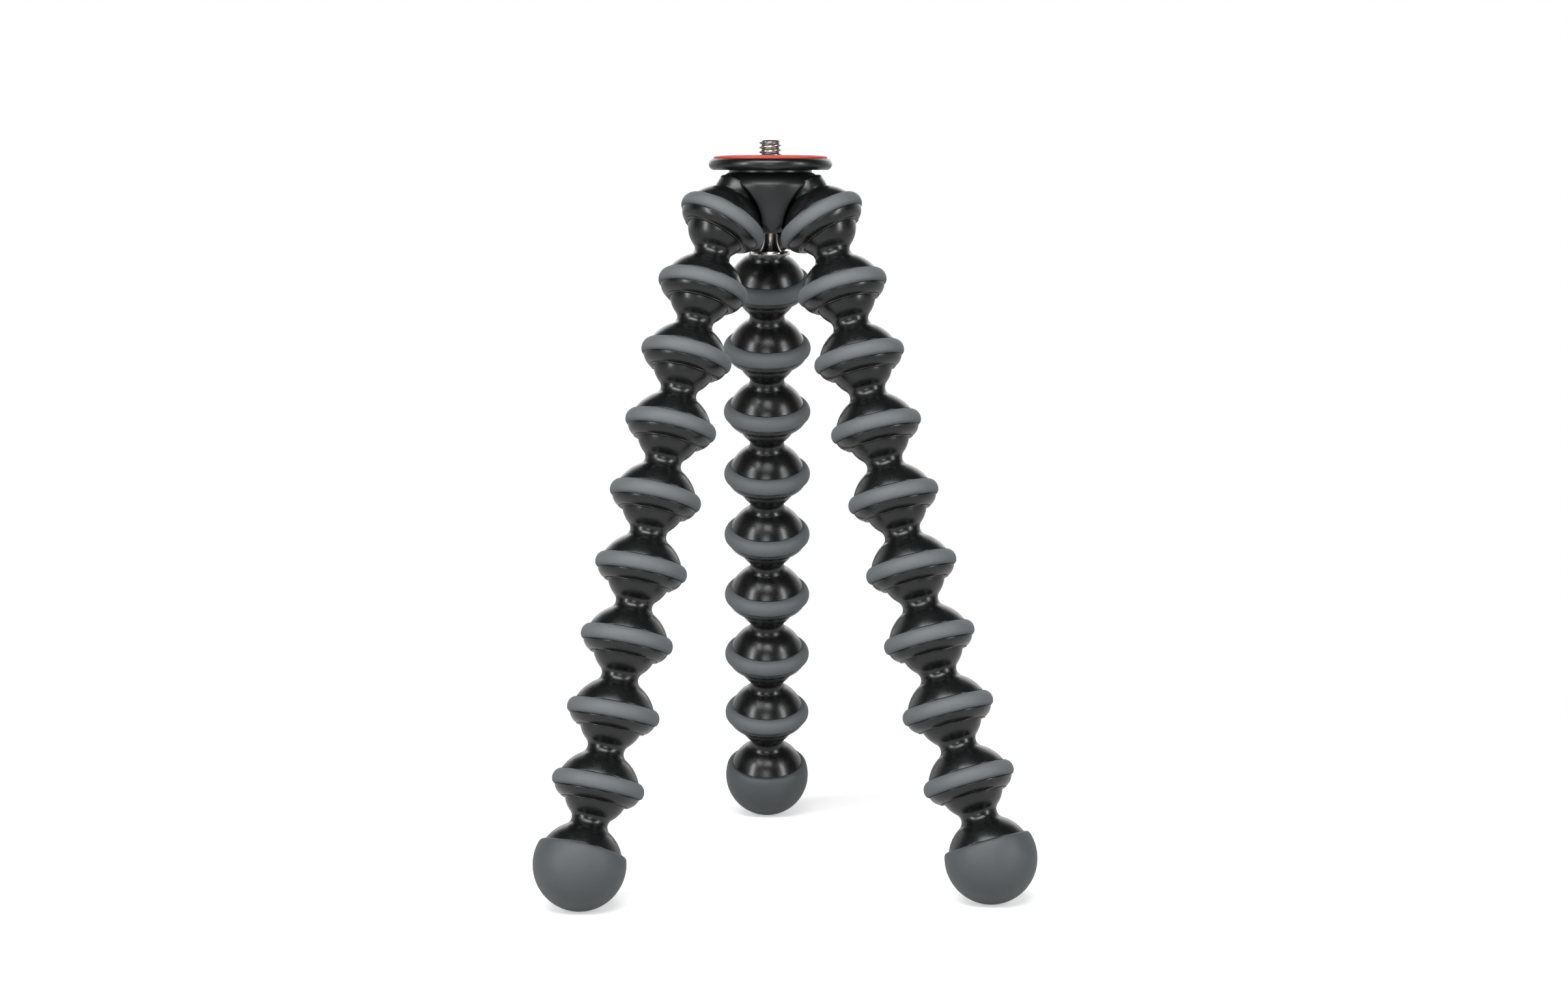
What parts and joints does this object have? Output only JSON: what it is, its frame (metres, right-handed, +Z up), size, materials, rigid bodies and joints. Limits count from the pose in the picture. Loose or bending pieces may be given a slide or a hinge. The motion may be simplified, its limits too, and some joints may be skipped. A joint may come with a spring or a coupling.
{
  "type": "flexible leg tripod",
  "caption": "Tabletop tripod whose legs are chains of friction ball joints with rubber grip rings and round feet, under a disc with a pad and a camera screw.",
  "frame": {"origin": "middle of the camera pad's top face, on the camera screw's axis", "axes": "+Z up along the camera screw, -Y towards the viewer, with two legs in front and one behind"},
  "size_m": [0.1347, 0.154, 0.2036],
  "materials": {
    "black_plastic": "satin",
    "grey_rubber": "matte",
    "red_rubber": "matte",
    "steel": "bright"
  },
  "bodies": {
    "hub": {"hub_casing": "black_plastic", "camera_pad": "red_rubber"},
    "screw": {"camera_screw": "steel"},
    "left_grip_ring_1": {"left_grip_ring_1": "grey_rubber"},
    "left_link_1": {"left_link_1": "black_plastic"},
    "left_grip_ring_2": {"left_grip_ring_2": "grey_rubber"},
    "left_link_2": {"left_link_2": "black_plastic"},
    "left_grip_ring_3": {"left_grip_ring_3": "grey_rubber"},
    "left_link_3": {"left_link_3": "black_plastic"},
    "left_grip_ring_4": {"left_grip_ring_4": "grey_rubber"},
    "left_link_4": {"left_link_4": "black_plastic"},
    "left_grip_ring_5": {"left_grip_ring_5": "grey_rubber"},
    "left_link_5": {"left_link_5": "black_plastic"},
    "left_grip_ring_6": {"left_grip_ring_6": "grey_rubber"},
    "left_link_6": {"left_link_6": "black_plastic"},
    "left_grip_ring_7": {"left_grip_ring_7": "grey_rubber"},
    "left_link_7": {"left_link_7": "black_plastic"},
    "left_grip_ring_8": {"left_grip_ring_8": "grey_rubber"},
    "left_link_8": {"left_link_8": "black_plastic"},
    "left_grip_ring_9": {"left_grip_ring_9": "grey_rubber"},
    "left_foot": {"left_foot_link": "black_plastic", "left_foot_cap": "grey_rubber"},
    "right_grip_ring_1": {"right_grip_ring_1": "grey_rubber"},
    "right_link_1": {"right_link_1": "black_plastic"},
    "right_grip_ring_2": {"right_grip_ring_2": "grey_rubber"},
    "right_link_2": {"right_link_2": "black_plastic"},
    "right_grip_ring_3": {"right_grip_ring_3": "grey_rubber"},
    "right_link_3": {"right_link_3": "black_plastic"},
    "right_grip_ring_4": {"right_grip_ring_4": "grey_rubber"},
    "right_link_4": {"right_link_4": "black_plastic"},
    "right_grip_ring_5": {"right_grip_ring_5": "grey_rubber"},
    "right_link_5": {"right_link_5": "black_plastic"},
    "right_grip_ring_6": {"right_grip_ring_6": "grey_rubber"},
    "right_link_6": {"right_link_6": "black_plastic"},
    "right_grip_ring_7": {"right_grip_ring_7": "grey_rubber"},
    "right_link_7": {"right_link_7": "black_plastic"},
    "right_grip_ring_8": {"right_grip_ring_8": "grey_rubber"},
    "right_link_8": {"right_link_8": "black_plastic"},
    "right_grip_ring_9": {"right_grip_ring_9": "grey_rubber"},
    "right_foot": {"right_foot_link": "black_plastic", "right_foot_cap": "grey_rubber"},
    "rear_grip_ring_1": {"rear_grip_ring_1": "grey_rubber"},
    "rear_link_1": {"rear_link_1": "black_plastic"},
    "rear_grip_ring_2": {"rear_grip_ring_2": "grey_rubber"},
    "rear_link_2": {"rear_link_2": "black_plastic"},
    "rear_grip_ring_3": {"rear_grip_ring_3": "grey_rubber"},
    "rear_link_3": {"rear_link_3": "black_plastic"},
    "rear_grip_ring_4": {"rear_grip_ring_4": "grey_rubber"},
    "rear_link_4": {"rear_link_4": "black_plastic"},
    "rear_grip_ring_5": {"rear_grip_ring_5": "grey_rubber"},
    "rear_link_5": {"rear_link_5": "black_plastic"},
    "rear_grip_ring_6": {"rear_grip_ring_6": "grey_rubber"},
    "rear_link_6": {"rear_link_6": "black_plastic"},
    "rear_grip_ring_7": {"rear_grip_ring_7": "grey_rubber"},
    "rear_link_7": {"rear_link_7": "black_plastic"},
    "rear_grip_ring_8": {"rear_grip_ring_8": "grey_rubber"},
    "rear_link_8": {"rear_link_8": "black_plastic"},
    "rear_grip_ring_9": {"rear_grip_ring_9": "grey_rubber"},
    "rear_foot": {"rear_foot_link": "black_plastic", "rear_foot_cap": "grey_rubber"}
  },
  "joints": [
    {"name": "left_tilt_1", "type": "hinge", "parent": "left_grip_ring_1", "child": "left_link_1", "pos_m": [-0.01446, -0.00835, -0.0196], "axis": [-0.0695, 0.9569, -0.2821], "range_deg": [0, 40.85]},
    {"name": "left_tilt_2", "type": "hinge", "parent": "left_grip_ring_2", "child": "left_link_2", "pos_m": [-0.01963, -0.01409, -0.03778], "axis": [-0.7431, 0.6691, 0], "range_deg": [0, 29]},
    {"name": "left_tilt_3", "type": "hinge", "parent": "left_grip_ring_3", "child": "left_link_3", "pos_m": [-0.02436, -0.01935, -0.05622], "axis": [-0.7431, 0.6691, 0], "range_deg": [0, 28.5]},
    {"name": "left_tilt_4", "type": "hinge", "parent": "left_grip_ring_4", "child": "left_link_4", "pos_m": [-0.02877, -0.02424, -0.07483], "axis": [-0.7431, 0.6691, 0], "range_deg": [0, 27.5]},
    {"name": "left_tilt_5", "type": "hinge", "parent": "left_grip_ring_5", "child": "left_link_5", "pos_m": [-0.03308, -0.02902, -0.09351], "axis": [-0.7431, 0.6691, 0], "range_deg": [0, 28.5]},
    {"name": "left_tilt_6", "type": "hinge", "parent": "left_grip_ring_6", "child": "left_link_6", "pos_m": [-0.03705, -0.03344, -0.11235], "axis": [-0.7431, 0.6691, 0], "range_deg": [0, 27]},
    {"name": "left_tilt_7", "type": "hinge", "parent": "left_grip_ring_7", "child": "left_link_7", "pos_m": [-0.04102, -0.03785, -0.13118], "axis": [-0.7431, 0.6691, 0], "range_deg": [0, 28]},
    {"name": "left_tilt_8", "type": "hinge", "parent": "left_grip_ring_8", "child": "left_link_8", "pos_m": [-0.04478, -0.04202, -0.15012], "axis": [-0.7431, 0.6691, 0], "range_deg": [-2, 25]},
    {"name": "left_tilt_9", "type": "hinge", "parent": "left_grip_ring_9", "child": "left_foot", "pos_m": [-0.04897, -0.04668, -0.16885], "axis": [-0.9362, 0.3271, 0.1283], "range_deg": [-4.83, 22.17]},
    {"name": "right_tilt_1", "type": "hinge", "parent": "right_grip_ring_1", "child": "right_link_1", "pos_m": [0.01446, -0.00835, -0.0196], "axis": [-0.193, -0.9584, 0.2105], "range_deg": [0, 41.74]},
    {"name": "right_tilt_2", "type": "hinge", "parent": "right_grip_ring_2", "child": "right_link_2", "pos_m": [0.01942, -0.0134, -0.03804], "axis": [-0.7133, -0.7009, 0], "range_deg": [0, 30]},
    {"name": "right_tilt_3", "type": "hinge", "parent": "right_grip_ring_3", "child": "right_link_3", "pos_m": [0.0237, -0.01775, -0.05682], "axis": [-0.7133, -0.7009, 0], "range_deg": [0, 27]},
    {"name": "right_tilt_4", "type": "hinge", "parent": "right_grip_ring_4", "child": "right_link_4", "pos_m": [0.02798, -0.0221, -0.07561], "axis": [-0.7133, -0.7009, 0], "range_deg": [-0.5, 26.5]},
    {"name": "right_tilt_5", "type": "hinge", "parent": "right_grip_ring_5", "child": "right_link_5", "pos_m": [0.03237, -0.02657, -0.09433], "axis": [-0.7133, -0.7009, 0], "range_deg": [-0.5, 26.5]},
    {"name": "right_tilt_6", "type": "hinge", "parent": "right_grip_ring_6", "child": "right_link_6", "pos_m": [0.03688, -0.03116, -0.11301], "axis": [-0.7133, -0.7009, 0], "range_deg": [0, 27]},
    {"name": "right_tilt_7", "type": "hinge", "parent": "right_grip_ring_7", "child": "right_link_7", "pos_m": [0.04138, -0.03575, -0.13168], "axis": [-0.7133, -0.7009, 0], "range_deg": [-0.5, 26.5]},
    {"name": "right_tilt_8", "type": "hinge", "parent": "right_grip_ring_8", "child": "right_link_8", "pos_m": [0.04601, -0.04045, -0.1503], "axis": [-0.7133, -0.7009, 0], "range_deg": [-2.5, 24.5]},
    {"name": "right_tilt_9", "type": "hinge", "parent": "right_grip_ring_9", "child": "right_foot", "pos_m": [0.05119, -0.04573, -0.16861], "axis": [-0.7133, -0.7009, 0], "range_deg": [0, 28]},
    {"name": "rear_tilt_1", "type": "hinge", "parent": "rear_grip_ring_1", "child": "rear_link_1", "pos_m": [0, 0.0167, -0.0196], "axis": [0.9961, 0.073, 0.0493], "range_deg": [0, 39.57]},
    {"name": "rear_tilt_2", "type": "hinge", "parent": "rear_grip_ring_2", "child": "rear_link_2", "pos_m": [0.00038, 0.02393, -0.03798], "axis": [0.9986, -0.0523, 0], "range_deg": [0, 29]},
    {"name": "rear_tilt_3", "type": "hinge", "parent": "rear_grip_ring_3", "child": "rear_link_3", "pos_m": [0.00072, 0.03051, -0.05659], "axis": [0.9986, -0.0523, 0], "range_deg": [0, 27.5]},
    {"name": "rear_tilt_4", "type": "hinge", "parent": "rear_grip_ring_4", "child": "rear_link_4", "pos_m": [0.00106, 0.03693, -0.07527], "axis": [0.9986, -0.0523, 0], "range_deg": [-0.5, 26.5]},
    {"name": "rear_tilt_5", "type": "hinge", "parent": "rear_grip_ring_5", "child": "rear_link_5", "pos_m": [0.0014, 0.04352, -0.09388], "axis": [0.9986, -0.0523, 0], "range_deg": [-1, 26]},
    {"name": "rear_tilt_6", "type": "hinge", "parent": "rear_grip_ring_6", "child": "rear_link_6", "pos_m": [0.00177, 0.05042, -0.11238], "axis": [0.9986, -0.0523, 0], "range_deg": [0, 28]},
    {"name": "rear_tilt_7", "type": "hinge", "parent": "rear_grip_ring_7", "child": "rear_link_7", "pos_m": [0.00211, 0.05701, -0.131], "axis": [0.9986, -0.0523, 0], "range_deg": [0, 27.5]},
    {"name": "rear_tilt_8", "type": "hinge", "parent": "rear_grip_ring_8", "child": "rear_link_8", "pos_m": [0.00245, 0.06343, -0.14968], "axis": [0.9986, -0.0523, 0], "range_deg": [0, 27.5]},
    {"name": "rear_tilt_9", "type": "hinge", "parent": "rear_grip_ring_9", "child": "rear_foot", "pos_m": [0.00278, 0.06969, -0.1684], "axis": [0.9986, -0.0523, 0], "range_deg": [-1, 26]},
    {"name": "left_swivel_1", "type": "hinge", "parent": "hub", "child": "left_grip_ring_1", "pos_m": [-0.01446, -0.00835, -0.0196], "axis": [-0.4843, -0.2796, -0.829], "continuous": true},
    {"name": "left_swivel_2", "type": "hinge", "parent": "left_link_1", "child": "left_grip_ring_2", "pos_m": [-0.01963, -0.01409, -0.03778], "axis": [-0.2614, -0.2904, -0.9205], "continuous": true},
    {"name": "left_swivel_3", "type": "hinge", "parent": "left_link_2", "child": "left_grip_ring_3", "pos_m": [-0.02436, -0.01935, -0.05622], "axis": [-0.2398, -0.2663, -0.9336], "continuous": true},
    {"name": "left_swivel_4", "type": "hinge", "parent": "left_link_3", "child": "left_grip_ring_4", "pos_m": [-0.02877, -0.02424, -0.07483], "axis": [-0.2234, -0.2481, -0.9426], "continuous": true},
    {"name": "left_swivel_5", "type": "hinge", "parent": "left_link_4", "child": "left_grip_ring_5", "pos_m": [-0.03308, -0.02902, -0.09351], "axis": [-0.2178, -0.2419, -0.9455], "continuous": true},
    {"name": "left_swivel_6", "type": "hinge", "parent": "left_link_5", "child": "left_grip_ring_6", "pos_m": [-0.03705, -0.03344, -0.11235], "axis": [-0.2012, -0.2235, -0.9537], "continuous": true},
    {"name": "left_swivel_7", "type": "hinge", "parent": "left_link_6", "child": "left_grip_ring_7", "pos_m": [-0.04102, -0.03785, -0.13118], "axis": [-0.2012, -0.2235, -0.9537], "continuous": true},
    {"name": "left_swivel_8", "type": "hinge", "parent": "left_link_7", "child": "left_grip_ring_8", "pos_m": [-0.04478, -0.04202, -0.15012], "axis": [-0.19, -0.2111, -0.9588], "continuous": true},
    {"name": "left_swivel_9", "type": "hinge", "parent": "left_link_8", "child": "left_grip_ring_9", "pos_m": [-0.04897, -0.04668, -0.16885], "axis": [-0.2123, -0.2358, -0.9483], "continuous": true},
    {"name": "right_swivel_1", "type": "hinge", "parent": "hub", "child": "right_grip_ring_1", "pos_m": [0.01446, -0.00835, -0.0196], "axis": [0.4843, -0.2796, -0.829], "continuous": true},
    {"name": "right_swivel_2", "type": "hinge", "parent": "right_link_1", "child": "right_grip_ring_2", "pos_m": [0.01942, -0.0134, -0.03804], "axis": [0.2512, -0.2556, -0.9336], "continuous": true},
    {"name": "right_swivel_3", "type": "hinge", "parent": "right_link_2", "child": "right_grip_ring_3", "pos_m": [0.0237, -0.01775, -0.05682], "axis": [0.2166, -0.2204, -0.9511], "continuous": true},
    {"name": "right_swivel_4", "type": "hinge", "parent": "right_link_3", "child": "right_grip_ring_4", "pos_m": [0.02798, -0.0221, -0.07561], "axis": [0.2166, -0.2204, -0.9511], "continuous": true},
    {"name": "right_swivel_5", "type": "hinge", "parent": "right_link_4", "child": "right_grip_ring_5", "pos_m": [0.03237, -0.02657, -0.09433], "axis": [0.2224, -0.2263, -0.9483], "continuous": true},
    {"name": "right_swivel_6", "type": "hinge", "parent": "right_link_5", "child": "right_grip_ring_6", "pos_m": [0.03688, -0.03116, -0.11301], "axis": [0.2282, -0.2322, -0.9455], "continuous": true},
    {"name": "right_swivel_7", "type": "hinge", "parent": "right_link_6", "child": "right_grip_ring_7", "pos_m": [0.04138, -0.03575, -0.13168], "axis": [0.2282, -0.2322, -0.9455], "continuous": true},
    {"name": "right_swivel_8", "type": "hinge", "parent": "right_link_7", "child": "right_grip_ring_8", "pos_m": [0.04601, -0.04045, -0.1503], "axis": [0.234, -0.2381, -0.9426], "continuous": true},
    {"name": "right_swivel_9", "type": "hinge", "parent": "right_link_8", "child": "right_grip_ring_9", "pos_m": [0.05119, -0.04573, -0.16861], "axis": [0.2626, -0.2672, -0.9272], "continuous": true},
    {"name": "rear_swivel_1", "type": "hinge", "parent": "hub", "child": "rear_grip_ring_1", "pos_m": [0, 0.0167, -0.0196], "axis": [0, 0.5592, -0.829], "continuous": true},
    {"name": "rear_swivel_2", "type": "hinge", "parent": "rear_link_1", "child": "rear_grip_ring_2", "pos_m": [0.00038, 0.02393, -0.03798], "axis": [0.0192, 0.366, -0.9304], "continuous": true},
    {"name": "rear_swivel_3", "type": "hinge", "parent": "rear_link_2", "child": "rear_grip_ring_3", "pos_m": [0.00072, 0.03051, -0.05659], "axis": [0.0175, 0.3333, -0.9426], "continuous": true},
    {"name": "rear_swivel_4", "type": "hinge", "parent": "rear_link_3", "child": "rear_grip_ring_4", "pos_m": [0.00106, 0.03693, -0.07527], "axis": [0.017, 0.3251, -0.9455], "continuous": true},
    {"name": "rear_swivel_5", "type": "hinge", "parent": "rear_link_4", "child": "rear_grip_ring_5", "pos_m": [0.0014, 0.04352, -0.09388], "axis": [0.0175, 0.3333, -0.9426], "continuous": true},
    {"name": "rear_swivel_6", "type": "hinge", "parent": "rear_link_5", "child": "rear_grip_ring_6", "pos_m": [0.00177, 0.05042, -0.11238], "axis": [0.0183, 0.3497, -0.9367], "continuous": true},
    {"name": "rear_swivel_7", "type": "hinge", "parent": "rear_link_6", "child": "rear_grip_ring_7", "pos_m": [0.00211, 0.05701, -0.131], "axis": [0.0175, 0.3333, -0.9426], "continuous": true},
    {"name": "rear_swivel_8", "type": "hinge", "parent": "rear_link_7", "child": "rear_grip_ring_8", "pos_m": [0.00245, 0.06343, -0.14968], "axis": [0.017, 0.3251, -0.9455], "continuous": true},
    {"name": "rear_swivel_9", "type": "hinge", "parent": "rear_link_8", "child": "rear_grip_ring_9", "pos_m": [0.00278, 0.06969, -0.1684], "axis": [0.0166, 0.3169, -0.9483], "continuous": true},
    {"name": "screw_turn", "type": "hinge", "parent": "hub", "child": "screw", "pos_m": [0, 0, 0], "axis": [0, 0, 1], "continuous": true}
  ]
}
